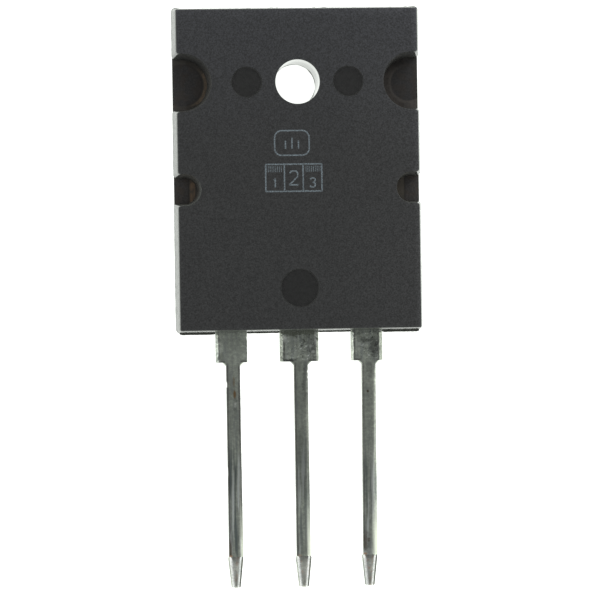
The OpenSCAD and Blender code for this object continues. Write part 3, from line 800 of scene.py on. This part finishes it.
# pocket that the plate fills: its lower level, its upper level, its ceiling at the floor's height
low_plan, high_plan = plate_outline(STEP, 0.5), plate_outline(0.0, 0.6)
pocket = [plan_ring(bm, low_plan, 0.0), plan_ring(bm, low_plan, LOCK_Z)]
loop_between(bm, pocket[0], pocket[1], 2)
pocket.append(plan_ring(bm, high_plan, LOCK_Z))
fill(bm, LOCK_Z, [pocket[1], pocket[2]], lambda x, y: inside(high_plan, x, y) and not inside(low_plan, x, y), lambda x, y: 2)
pocket.append(plan_ring(bm, high_plan, FLOOR))
loop_between(bm, pocket[2], pocket[3], 2)
collar = [ring_of(bm, PLATE_HOLE, z, 120) for z in (0.0, FLOOR)]
loop_between(bm, collar[0], collar[1], 2)
plain_loop = [(v.co.x / MM, v.co.y / MM) for v in low_floor]
notch_loop = [(v.co.x / MM, v.co.y / MM) for v in high_floor]


def at_floor(x, y):
    """True where the body has a face at the floor's height: notch floors beside the plate, ceiling of the pocket."""
    plate = inside(high_plan, x, y)
    if inside(notch_loop, x, y):
        return plate and math.hypot(x, y) > PLATE_HOLE
    return inside(plain_loop, x, y) and not plate


fill(bm, FLOOR, [low_floor, high_floor, pocket[3], collar[1]], at_floor, lambda x, y: 3)

# walls of the front half, with the parting ridge and the rounded front edge
levels = [(2.3, 0.0), (PZ - 0.06, 0.0), (PZ - 0.02, -0.012), (PZ + 0.02, -0.012), (PZ + 0.06, 0.0),
          (3.3, 0.0), (3.9, 0.0), (4.5, 0.0)]
prev = high_floor
for z, inset in levels:
    cur = body_ring(z, inset + 0.012, True, (0.016, 0.12, 0.01) if inset else 0.0, bool(inset))
    if prev is high_floor:
        for i in range(N):
            j = (i + 1) % N
            f = bm.faces.new([prev[i], prev[j], cur[j], cur[i]])
            f.material_index = wall_mat(i)
    else:
        loop_between(bm, prev, cur, wall_mat)
    prev = cur
for k in range(1, 7):
    a = math.pi / 2 * k / 6
    z = BT - 0.004 - EDGE * (1 - math.sin(a))
    fall = 1 - math.cos(a)
    cur = body_ring(z, (0.012 + EDGE * fall, 0.012 + EDGE * fall, 0.012 + 0.02 * fall), True, (0.012 * fall, 0.04 * fall, 0.02 * fall))
    loop_between(bm, prev, cur, wall_mat if k < 5 else 0)
    prev = cur
face_z = BT - 0.004
face_ring = prev

# mounting hole: rounded rim, flare, straight wall, ragged rim at the back
holes = []
prev = None
for z, r, w in ((face_z, 1.785, 0.004), (face_z - 0.012, 1.772, 0.004), (face_z - 0.04, 1.765, 0.002), (face_z - 0.09, 1.762, 0.0),
                (4.7, 1.76, 0.0), (4.4, 1.75, 0.0), (3.0, 1.75, 0.0), (1.5, 1.75, 0.0), (0.35, 1.75, 0.0),
                (0.16, 1.745, 0.0), (0.11, 1.722, 0.035), (0.05, 1.722, 0.040), (0.0, 1.77, 0.03)):
    cur = ring_of(bm, r, z, 144, wobble=w, seed=z * 3)
    if prev:
        loop_between(bm, prev, cur, 5)
    else:
        holes.append(cur)
    prev = cur
hole_back = prev

# ejector marks: shallow polished discs with a soft rim
marks = [(-4.06, 0.0, 1.215), (4.06, 0.0, 1.205), (-0.05, -16.45, 1.53)]
mark_rims = []
for cx, cy, r in marks:
    n = 96
    rim = ring_of(bm, r + 0.035, face_z, n, cx, cy, 0.006, cx)
    a = ring_of(bm, r + 0.010, face_z - 0.02, n, cx, cy)
    b = ring_of(bm, r - 0.02, face_z - 0.10, n, cx, cy)
    c = ring_of(bm, r - 0.06, face_z - 0.135, n, cx, cy)
    d = ring_of(bm, r * 0.6, face_z - 0.142, n, cx, cy)
    e = ring_of(bm, r * 0.25, face_z - 0.146, n, cx, cy)
    loop_between(bm, rim, a, 0)
    for p, q in ((a, b), (b, c), (c, d), (d, e)):
        loop_between(bm, p, q, 1)
    bm.faces.new(e).material_index = 1
    mark_rims.append(rim)


def on_face(x, y):
    return math.hypot(x, y) > 1.785 and all(math.hypot(x - cx, y - cy) > r + 0.035 for cx, cy, r in marks)


face_loop = [(v.co.x / MM, v.co.y / MM) for v in face_ring]
fill(bm, face_z, [face_ring, holes[0]] + mark_rims, lambda x, y: on_face(x, y) and inside(face_loop, x, y), lambda x, y: 0)


# back face round the copper pad
back_loop = [(v.co.x / MM, v.co.y / MM) for v in rings[0]]
fill(bm, 0.0, [rings[0], pocket[0], collar[0], hole_back],
     lambda x, y: inside(back_loop, x, y) and (not inside(low_plan, x, y) or (1.77 < math.hypot(x, y) < PLATE_HOLE)),
     lambda x, y: 0)
body = finish_mesh("moulded_body", bm, [MAT[k] for k in ("epoxy", "epoxy_smooth", "epoxy_wall", "epoxy_notch", "epoxy_notch_wall", "epoxy_bore")],
                   "epoxy_body", "moulding_epoxy", 38)


# ---------------------------------------------------------------- trimmed web between the leads
def web(name, x0, x1, out, seed):
    """Broken edge of the thin resin web that the trim tool left along the parting line."""
    bm = bmesh.new()
    n = max(8, round((x1 - x0) / 0.07))
    prev = None
    for i in range(n + 1):
        x = x0 + (x1 - x0) * i / n
        ends = min(1.0, min(i, n - i) / 3)
        d = out * (0.9 + 0.14 * wob(x, 0, 0, 0.45, seed) + 0.12 * wob(x, 0, 0, 0.12, seed + 5)) * (0.55 + 0.45 * ends)
        top = Z1 - 0.03 + 0.05 * wob(x, 1, 0, 0.3, seed)
        low = Z0 + 0.04 + 0.05 * wob(x, 2, 0, 0.3, seed)
        mid = (top + low) / 2
        sec = [(BOT + 0.35, top), (BOT - d * 0.62, top), (BOT - d * 0.9, top - 0.05), (BOT - d, mid + 0.05 * wob(x, 3, 0, 0.2, seed)),
               (BOT - d * 0.82, low + 0.05), (BOT - d * 0.5, low), (BOT + 0.35, low)]
        cur = [bm.verts.new(Vector((x, y, z)) * MM) for y, z in sec]
        if prev:
            loop_between(bm, prev, cur)
        else:
            bm.faces.new(cur)
        prev = cur
    bm.faces.new(prev)
    o = finish_mesh(name, bm, [MAT["epoxy_flash"]], None, "moulding_epoxy", 50)
    return o


SHOULDER, CENTRE = 2.53, 3.1
web("web_left", -HW + 0.32, -PITCH - SHOULDER / 2 - BACK + 0.02, 0.145, 1.0)
web("web_inner_left", -PITCH + SHOULDER / 2 - BACK - 0.02, -CENTRE / 2 - BACK + 0.02, 0.085, 2.0)
web("web_inner_right", CENTRE / 2 - BACK - 0.02, PITCH - SHOULDER / 2 - BACK + 0.02, 0.075, 3.0)
web("web_right", PITCH + SHOULDER / 2 - BACK - 0.02, HW - 0.32, 0.155, 4.0)


# ---------------------------------------------------------------- leads
SIDE, ROLL = 8, 8                                              # points of a section's back and of each front edge


def section(w, t, zc, bl, br, roll, crown=0.0):
    """One section of a lead: x and z, counter-clockwise from the back left. Each front edge is a slope bl or br
    wide and roll times as tall, slightly crowned."""
    z0, z1 = zc - t / 2, zc + t / 2
    s = min(0.035, t * 0.2)
    pts = [(-w / 2, z0 + s), (-w / 2 + s * 0.3, z0 + s * 0.3), (-w / 2 + s, z0), (-w / 6, z0), (w / 6, z0),
           (w / 2 - s, z0), (w / 2 - s * 0.3, z0 + s * 0.3), (w / 2, z0 + s)]
    slope = []
    for i in range(ROLL):
        f = i / (ROLL - 1)
        slope.append((1 - f, math.sin(math.pi / 2 * f) * 0.35 + f * 0.65))
    pts += [(w / 2 - br * (1 - f), z1 - crown - br * roll * (1 - g)) for f, g in slope]
    pts += [(w / 4 - br / 2, z1 - crown * 0.25), (0.0, z1), (-w / 4 + bl / 2, z1 - crown * 0.25)]
    pts += [(-w / 2 + bl * (1 - f), z1 - crown - bl * roll * (1 - g)) for f, g in reversed(slope)]
    return pts


def lead(name, x0, shoulder, lean, mats, seed, node, inner, strip, roll_r, nicks=(), length=20.6, extra=None, tip=(0.0, 0.0), foot=0.04):
    """A lead as a loft of sections from inside the body to its coined tip. strip: widths of the shoulder's left and
    right slopes. roll_r: width of the free length's right-hand roll at its top and at its foot.
    nicks: (y, side, depth, half length). tip: extra width of the coined tip and its shift to the side.
    foot: how far the right-hand edge widens towards the tip."""
    bm = bmesh.new()
    stations = list(inner)
    web_y, sh_y, end_y = BOT - 0.1, BOT - 2.38, BOT - length

    def add(y, w, t=0.6, zc=2.7, bl=0.06, br=0.06, rough=0.0, roll=0.6, mat=0):
        stations.append((y, w, t, zc, bl, br, rough, roll, mat))
    add(web_y + 0.3, shoulder, bl=0.05, br=0.05)
    add(web_y, shoulder, bl=0.05, br=0.05)
    y = web_y - 0.05
    while y > sh_y + 0.06:
        add(y, shoulder, bl=strip[0], br=strip[1], rough=1.0)
        y -= 0.07
    add(sh_y + 0.05, shoulder - 0.01, bl=strip[0], br=strip[1], rough=0.6)
    add(sh_y + 0.012, shoulder - 0.03, bl=strip[0], br=strip[1], rough=0.4)
    add(sh_y, shoulder - 0.06, bl=strip[0], br=strip[1], rough=0.2)
    add(sh_y - 0.004, NARROW + 0.60, bl=0.12, br=0.12)
    for k in range(1, 7):                                      # chamfered inner corners
        f = k / 6
        add(sh_y - 0.32 * f, NARROW + 0.60 * (1 - f) ** 1.12, bl=0.12 - 0.06 * f ** 3, br=0.12 - 0.05 * f ** 3)
    y = sh_y - 0.5
    tip0 = end_y + 2.5
    while y > tip0 + 0.12:
        low = max(0.0, min(1.0, (-28.0 - y) / 8))
        start = min(1.0, (sh_y - 0.3 - y) / 1.2)               # the roll sets in gradually
        add(y, NARROW, bl=0.06, br=0.07 + (roll_r[0] - 0.07) * start + (roll_r[1] - roll_r[0]) * low, rough=0.35)
        y -= 0.16
    add(tip0 + 0.08, NARROW, bl=0.06, br=roll_r[1], rough=0.2)
    add(tip0 + 0.03, NARROW - 0.02, t=0.59, bl=0.10, br=0.20, rough=0.1)
    add(tip0 - 0.02, NARROW + 0.02 + tip[0] * 0.6, t=0.60, bl=0.20, br=0.24, mat=1, roll=0.8)
    for k in range(0, 17):                                     # coined taper
        f = k / 16
        add(tip0 - 0.10 - (2.5 - 0.10 - 0.13) * f, tip[0] + 1.155 + (0.68 - 1.155) * f, t=0.6 - 0.12 * f,
            bl=(0.30 if f < 0.06 else 0.345) - 0.05 * f, br=(0.30 if f < 0.06 else 0.335) - 0.05 * f, mat=1, roll=0.54)
    add(end_y + 0.07, 0.64 + tip[0] * 0.8, t=0.40, bl=0.20, br=0.20, mat=1, roll=0.7)
    add(end_y + 0.02, 0.52 + tip[0] * 0.6, t=0.28, bl=0.16, br=0.16, mat=1, roll=0.6)
    add(end_y + 0.001, 0.36, t=0.16, bl=0.10, br=0.10, mat=1, roll=0.6)
    prev = None
    for y, w, t, zc, bl, br, rough, roll, mat in stations:
        cur = []
        for x, z in section(w, t, zc, bl, br, roll, 0.02 if mat == 1 else 0.0):
            edge = abs(x) / (w / 2)
            if rough:
                front = max(0.0, (z - zc) / (t / 2))
                k = rough * (0.012 + 0.030 * (edge > 0.8) * front)
                x += k * wob(x * 2 + x0, y, z, 0.22, seed) * (1 if edge > 0.5 else 0)
                z += k * (0.7 * wob(x + x0, y, z, 0.16, seed + 7) - 0.2) * (1 if z > zc else 0) * (1 if edge < 0.97 else 0)
                z = min(z, zc + t / 2)
            if mat == 1:
                x += tip[1]
            elif y < -28.0 and x > 0.25:
                x += foot * min(1.0, (-28.0 - y) / 9.0)
            for ny, side, depth, reach in nicks:
                if abs(y - ny) < reach and x * side > 0.25:
                    x -= side * depth * (1 - ((y - ny) / reach) ** 2) * (0.6 + 0.4 * (z > zc))
            px, py = x - BACK, y
            if y < sh_y:
                dy = y - sh_y
                px, py = AHEAD + 0.03 * (lean > 0) + x * math.cos(lean) + dy * math.sin(lean), sh_y + dy * math.cos(lean) - x * math.sin(lean)
            cur.append(bm.verts.new(Vector((x0 + px, py, z)) * MM))
        if prev is None:
            bm.faces.new(cur)
        else:
            shoulders = web_y > y > sh_y - 0.30

            # painted light and shade: the shoulders' sloped strips take the edge copies of the tin; on the coined tip
            # the rims take the dark rim copies and the slopes the light bevel copy; the lead's sides take the dark side
            # copy
            def paint(i, mat=mat, shoulders=shoulders):
                last = SIDE + 2 * ROLL + 2
                right, left = SIDE <= i < SIDE + ROLL - 1, SIDE + ROLL + 3 <= i < last
                if shoulders and (right or left):
                    return 5 if right else 2
                if mat == 1:
                    if i in (SIDE - 1, SIDE, SIDE + 1, SIDE + 2):
                        return 7
                    if i in (last, last - 1, last - 2):
                        return 6
                    return 3 if left or right else 1
                return 4 if i in (SIDE - 1, SIDE - 2, 0, last) else mat
            loop_between(bm, prev, cur, paint)
        prev = cur
    bm.faces.new(prev).material_index = 3
    if extra:
        extra(bm)
    return finish_mesh(name, bm, mats, node, "tinned_copper", 40)


def pad_stations(w_pad, y_top, y_low, shank):
    out = []
    for k in range(5):
        a = math.pi / 2 * k / 4
        out.append((y_top - 0.3 * (1 - math.cos(a)), w_pad - 0.6 * (1 - math.sin(a)), 0.6, 2.7, 0.03, 0.03, 0.0, 0.6, 0))
    for k in range(5):
        a = math.pi / 2 * k / 4
        out.append((y_low + 0.3 * (1 - math.sin(a)), w_pad - 0.6 * (1 - math.cos(a)), 0.6, 2.7, 0.03, 0.03, 0.0, 0.6, 0))
    out.append((y_low - 0.001, shank, 0.6, 2.7, 0.03, 0.03, 0.0, 0.6, 0))
    return out


def lead_mats(key):
    own = "edge_" + key
    return [MAT[k] for k in ("tin_" + key, "tin_tip", own, "tin_bevel", "tin_side", own + "_right" if own + "_right" in MAT else own, "rim_left", "rim_right")]


lead("base_lead_tinned", -PITCH, SHOULDER, 0.0, lead_mats("base"), 11.0, "base_lead",
     pad_stations(5.6, -15.6, -18.2, SHOULDER), (0.22, 0.05), (0.07, 0.24), ((-24.15, -1, 0.07, 0.28), (-31.2, -1, 0.03, 0.4)), 20.55, tip=(0.067, -0.017))
lead("emitter_lead_tinned", PITCH, SHOULDER, LEAN, lead_mats("emitter"), 23.0, "emitter_lead",
     pad_stations(5.6, -15.6, -18.2, SHOULDER), (0.22, 0.28), (0.18, 0.40), tip=(0.09, -0.035), foot=0.06)


# ---------------------------------------------------------------- copper plate with the centre lead
def plate_material():
    """Back pad: rolled nickel-grey plate with fine scratches. Where the notches show it, thin brown resin covers the copper."""
    m, t, b = new_material("plated_copper_pad")
    p = t.place()
    xyz = t.axes(p)
    along = t.place(scale=(220.0, 1000.0, 1000.0))
    brushed = t.noise(along, 6.0, 4.0, 0.65)
    cloud = t.noise(p, 0.35, 3.0, 0.55)
    metal = t.mix(t.span(brushed, 0.35, 0.65), (0.55, 0.53, 0.49, 1.0), (0.68, 0.665, 0.63, 1.0))
    metal = t.mix(t.span(cloud, 0.5, 0.68, 0.0, 0.5), metal, (0.50, 0.40, 0.31, 1.0))
    film = t.noise(p, 3.2, 3.0, 0.6, 0.4)
    resin = t.mix(t.span(film, 0.40, 0.66), (0.031, 0.027, 0.026, 1.0), (0.047, 0.040, 0.036, 1.0))
    streaks = t.span(t.noise(p, 2.1, 3.0, 0.6, 0.3), 0.36, 0.60, 0.35, 1.0)
    resin = notch_stains(t, xyz, resin, streaks)
    top = t.span(xyz[2], 1.9, 2.0)
    t.link(t.mix(top, metal, resin), b.inputs["Base Color"])
    t.link(t.span(top, 0.0, 1.0, 1.0, 0.12), b.inputs["Metallic"])
    t.link(t.span(brushed, 0.3, 0.7, 0.28, 0.46), b.inputs["Roughness"])
    bump = t.n("ShaderNodeBump")
    bump.inputs["Strength"].default_value = 0.35
    bump.inputs["Distance"].default_value = 0.00001
    t.link(t.math("ADD", brushed, film), bump.inputs["Height"])
    t.link(bump.outputs["Normal"], b.inputs["Normal"])
    return m


MAT["plate"] = plate_material()


def plate_extra(bm):
    low, high = plate_outline(STEP, 0.5), plate_outline(0.0, 0.6)
    edge_in = plate_outline(STEP + 0.05, 0.45)

    seq = [plan_ring(bm, p, z) for p, z in ((edge_in, 0.0), (plate_outline(STEP + 0.012, 0.49), 0.018), (low, 0.06), (low, LOCK_Z))]
    for a, b in zip(seq, seq[1:]):
        loop_between(bm, a, b, 8)
    seq += [plan_ring(bm, high, LOCK_Z), plan_ring(bm, high, FLOOR - 0.002)]
    loop_between(bm, seq[4], seq[5], 8)
    fill(bm, LOCK_Z, [seq[3], seq[4]], lambda x, y: inside(high, x, y) and not inside(low, x, y), lambda x, y: 8)
    wall = [ring_of(bm, r, z, 120) for r, z in ((PLATE_HOLE + 0.05, 0.0), (PLATE_HOLE + 0.012, 0.018), (PLATE_HOLE, 0.06), (PLATE_HOLE, FLOOR - 0.002))]
    for a, b in zip(wall, wall[1:]):
        loop_between(bm, a, b, 8)
    fill(bm, 0.0, [seq[0], wall[0]], lambda x, y: inside(edge_in, x, y) and math.hypot(x, y) > PLATE_HOLE, lambda x, y: 8)
    fill(bm, FLOOR - 0.002, [seq[-1], wall[-1]], lambda x, y: inside(high, x, y) and math.hypot(x, y) > PLATE_HOLE, lambda x, y: 8)


root = [(-14.0, CENTRE, 0.6, 1.75, 0.03, 0.03, 0.0, 0.6, 0), (-15.1, CENTRE, 0.6, 1.75, 0.03, 0.03, 0.0, 0.6, 0),
        (-16.4, CENTRE, 0.6, 2.7, 0.03, 0.03, 0.0, 0.6, 0)]
lead("copper_plate_with_lead", 0.0, CENTRE, 0.0, lead_mats("centre") + [MAT["plate"]], 37.0, "collector_header",
     root, (0.27, 0.20), (0.17, 0.30), ((-23.2, 1, 0.05, 0.12), (-23.65, 1, 0.04, 0.10)), 20.6, plate_extra, tip=(0.13, 0.0), foot=0.025)


# ---------------------------------------------------------------- generic print
def ribbon(bm, pts, w, z, closed=False):
    """A printed line as a thin strip along its points, with slightly uneven edges."""
    n = len(pts)
    prev = first = None
    for i in range(n + (1 if closed else 0)):
        p = Vector(pts[i % n])
        a = Vector(pts[(i - 1) % n]) if closed or i else p
        b = Vector(pts[(i + 1) % n]) if closed or i < n - 1 else p
        d = (b - a).normalized()
        k = w / 2 * (1.0 + 0.25 * wob(p.x, p.y, 0, 0.08, 5.0))
        side = Vector((-d.y, d.x)) * k
        cur = first if closed and i == n else [bm.verts.new(Vector((*(p + side), z)) * MM), bm.verts.new(Vector((*(p - side), z)) * MM)]
        if prev:
            bm.faces.new([prev[0], cur[0], cur[1], prev[1]])
        else:
            first = cur
        prev = cur


def dense(pts, step=0.06, closed=False):
    out = []
    ends = list(zip(pts, pts[1:] + pts[:1])) if closed else list(zip(pts, pts[1:]))
    for a, b in ends:
        c = max(1, round(math.dist(a, b) / step))
        out += [(a[0] + (b[0] - a[0]) * i / c, a[1] + (b[1] - a[1]) * i / c) for i in range(c)]
    return out if closed else out + [pts[-1]]


def print_material():
    m, t, b = new_material("laser_mark")
    p = t.place()
    grains = t.noise(p, 11.0, 2.0, 0.6)
    t.link(t.mix(t.span(grains, 0.38, 0.62), (0.075, 0.088, 0.098, 1.0), (0.22, 0.265, 0.30, 1.0)), b.inputs["Base Color"])
    t.link(t.span(grains, 0.3, 0.7, 0.6, 0.8), b.inputs["Roughness"])
    return m


bm = bmesh.new()
pz = BT - 0.0022
W = 0.115


def rounded(cx, cy, w, h, r):
    out = []
    for qx, qy, start in ((1, -1, -90), (1, 1, 0), (-1, 1, 90), (-1, -1, 180)):
        for i in range(9):
            a = math.radians(start + 90 * i / 8)
            out.append((cx + qx * (w - r) + r * math.cos(a), cy + qy * (h - r) + r * math.sin(a)))
    return out


# a round-ended frame with three bars
cx, cy = -0.53, -4.88
ribbon(bm, dense(rounded(cx, cy, 1.38, 0.98, 0.55), closed=True), W, pz, True)
for k, top in ((-1, 0.18), (0, 0.42), (1, 0.18)):
    ribbon(bm, dense([(cx + 0.52 * k, cy - 0.45), (cx + 0.52 * k, cy + top)]), W, pz)
# a hatched strip over three numbered cells
cx, cy = -0.42, -7.65
w, h = 2.24, 1.08
ribbon(bm, dense([(cx - w, cy - h), (cx + w, cy - h), (cx + w, cy + h), (cx - w, cy + h)], closed=True), W, pz, True)
for k in (-1, 1):
    ribbon(bm, dense([(cx + w / 3 * k, cy - h + 0.08), (cx + w / 3 * k, cy + h - 0.08)]), W, pz)
for k in range(9):                                             # hatched outer cells
    for s in (-1, 1):
        x = cx + s * (w / 3 + 0.24 + 0.148 * k)
        ribbon(bm, dense([(x, cy + h - 0.14), (x, cy + h - 0.62 if s < 0 else cy + h - 0.62)]), 0.05, pz)
digits = {1: [[(-0.14, 0.24), (0.02, 0.42), (0.02, -0.42)]],
          2: [[(-0.24, 0.26), (-0.14, 0.40), (0.12, 0.40), (0.24, 0.26), (0.22, 0.06), (-0.26, -0.42), (0.26, -0.42)]],
          3: [[(-0.24, 0.32), (-0.10, 0.42), (0.14, 0.42), (0.24, 0.30), (0.22, 0.12), (0.04, 0.02), (0.24, -0.10), (0.24, -0.30), (0.12, -0.42), (-0.12, -0.42), (-0.25, -0.30)]]}
for d, dx, dy, s in ((1, -1.5, -0.40, 0.85), (2, 0.0, 0.0, 1.35), (3, 1.5, -0.40, 0.85)):
    for line in digits[d]:
        ribbon(bm, dense([(cx + dx + x * s, cy + dy + y * s) for x, y in line], 0.05), W, pz)
finish_mesh("generic_print", bm, [print_material()], None, "moulding_epoxy", 60)


# ---------------------------------------------------------------- pieces sealed in the resin
def simple(name, low, high, scale, metallic, rough, stretch=(1000.0,) * 3):
    m, t, b = new_material(name)
    p = t.place(scale=stretch)
    f = t.noise(p, scale, 3.0, 0.6)
    t.link(t.mix(t.span(f, 0.35, 0.65), low, high), b.inputs["Base Color"])
    b.inputs["Metallic"].default_value = metallic
    t.link(t.span(f, 0.3, 0.7, rough - 0.06, rough + 0.08), b.inputs["Roughness"])
    bump = t.n("ShaderNodeBump")
    bump.inputs["Strength"].default_value = 0.3
    bump.inputs["Distance"].default_value = 0.00001
    t.link(f, bump.inputs["Height"])
    t.link(bump.outputs["Normal"], b.inputs["Normal"])
    return m


def chip_material():
    """Chip face: a metal field crossed by a comb of fine dark gaps."""
    m, t, b = new_material("silicon_chip")
    p = t.place()
    xyz = t.axes(p)
    comb = t.math("PINGPONG", t.math("ADD", xyz[0], 20.0), 0.22)
    rows = t.math("PINGPONG", t.math("ADD", xyz[1], 40.0), 1.75)
    gap = t.math("MAXIMUM", t.span(comb, 0.02, 0.05, 1.0, 0.0), t.span(rows, 0.05, 0.10, 1.0, 0.0))
    base = t.mix(gap, (0.56, 0.56, 0.58, 1.0), (0.05, 0.06, 0.09, 1.0))
    side = t.span(xyz[2], 2.39, 2.405)
    base = t.mix(side, t.mix(t.span(t.noise(p, 5.0), 0.4, 0.6), (0.09, 0.10, 0.13, 1.0), (0.15, 0.16, 0.19, 1.0)), base)
    t.link(base, b.inputs["Base Color"])
    t.link(t.span(side, 0.0, 1.0, 0.2, 0.9), b.inputs["Metallic"])
    b.inputs["Roughness"].default_value = 0.25
    return m


inner = {"silicon_die": chip_material(),
         "die_attach_solder": simple("soft_solder", (0.42, 0.42, 0.44, 1.0), (0.58, 0.58, 0.60, 1.0), 2.0, 1.0, 0.45)}
wire_mat = simple("aluminium_bond_wire", (0.72, 0.72, 0.73, 1.0), (0.86, 0.86, 0.87, 1.0), 6.0, 1.0, 0.3)
for name in ("base_bond_wire", "emitter_bond_wire_1", "emitter_bond_wire_2"):
    inner[name] = wire_mat
for name, mat in inner.items():
    o = frame["nodes"][name]
    o.data.materials.clear()
    o.data.materials.append(mat)

# ---------------------------------------------------------------- floor, light
bm = bmesh.new()
bmesh.ops.create_grid(bm, x_segments=1, y_segments=1, size=1.5)
me = bpy.data.meshes.new("floor")
bm.to_mesh(me)
bm.free()
floor = bpy.data.objects.new("floor", me)
floor.location.z = -0.00002
bpy.context.collection.objects.link(floor)
m, t, b = new_material("pale_floor")
b.inputs["Base Color"].default_value = (0.55, 0.55, 0.545, 1.0)
b.inputs["Roughness"].default_value = 0.9
b.inputs["Emission Color"].default_value = (0.965, 1.0, 0.955, 1.0)
b.inputs["Emission Strength"].default_value = 1.12
me.materials.append(m)
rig.stage(floor)

world = bpy.data.worlds.new("studio")
bpy.context.scene.world = world
world.use_nodes = True
t = Tree(world.node_tree)
bg = world.node_tree.nodes["Background"]
c = t.n("ShaderNodeTexCoord")
s = t.n("ShaderNodeSeparateXYZ")
t.link(c.outputs["Generated"], s.inputs[0])
sky = t.mix(t.span(s.outputs[2], 0.45, 0.93), (0.98, 1.0, 0.97, 1.0), (0.145, 0.15, 0.155, 1.0))
t.link(sky, bg.inputs["Color"])
bg.inputs["Strength"].default_value = 1.0


def softbox(name, loc, target, size, power, colour=(1, 1, 1)):
    d = bpy.data.lights.new(name, "AREA")
    d.shape = "RECTANGLE"
    d.size, d.size_y = size
    d.energy = power
    d.color = colour
    o = bpy.data.objects.new(name, d)
    o.location = loc
    o.rotation_mode = "QUATERNION"
    o.rotation_quaternion = (Vector(target) - Vector(loc)).to_track_quat("-Z", "Y")
    bpy.context.collection.objects.link(o)


softbox("softbox_right", (0.16, 0.18, 0.22), (0.0, -0.01, 0.0), (0.16, 0.16), 0.22)
softbox("softbox_left", (-0.22, 0.05, 0.20), (0.0, -0.01, 0.0), (0.14, 0.20), 0.10)

json.dump({"cad": [list(v) for v in cad_box], "visual": [list(v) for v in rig.bounds()]}, open("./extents.json", "w"))
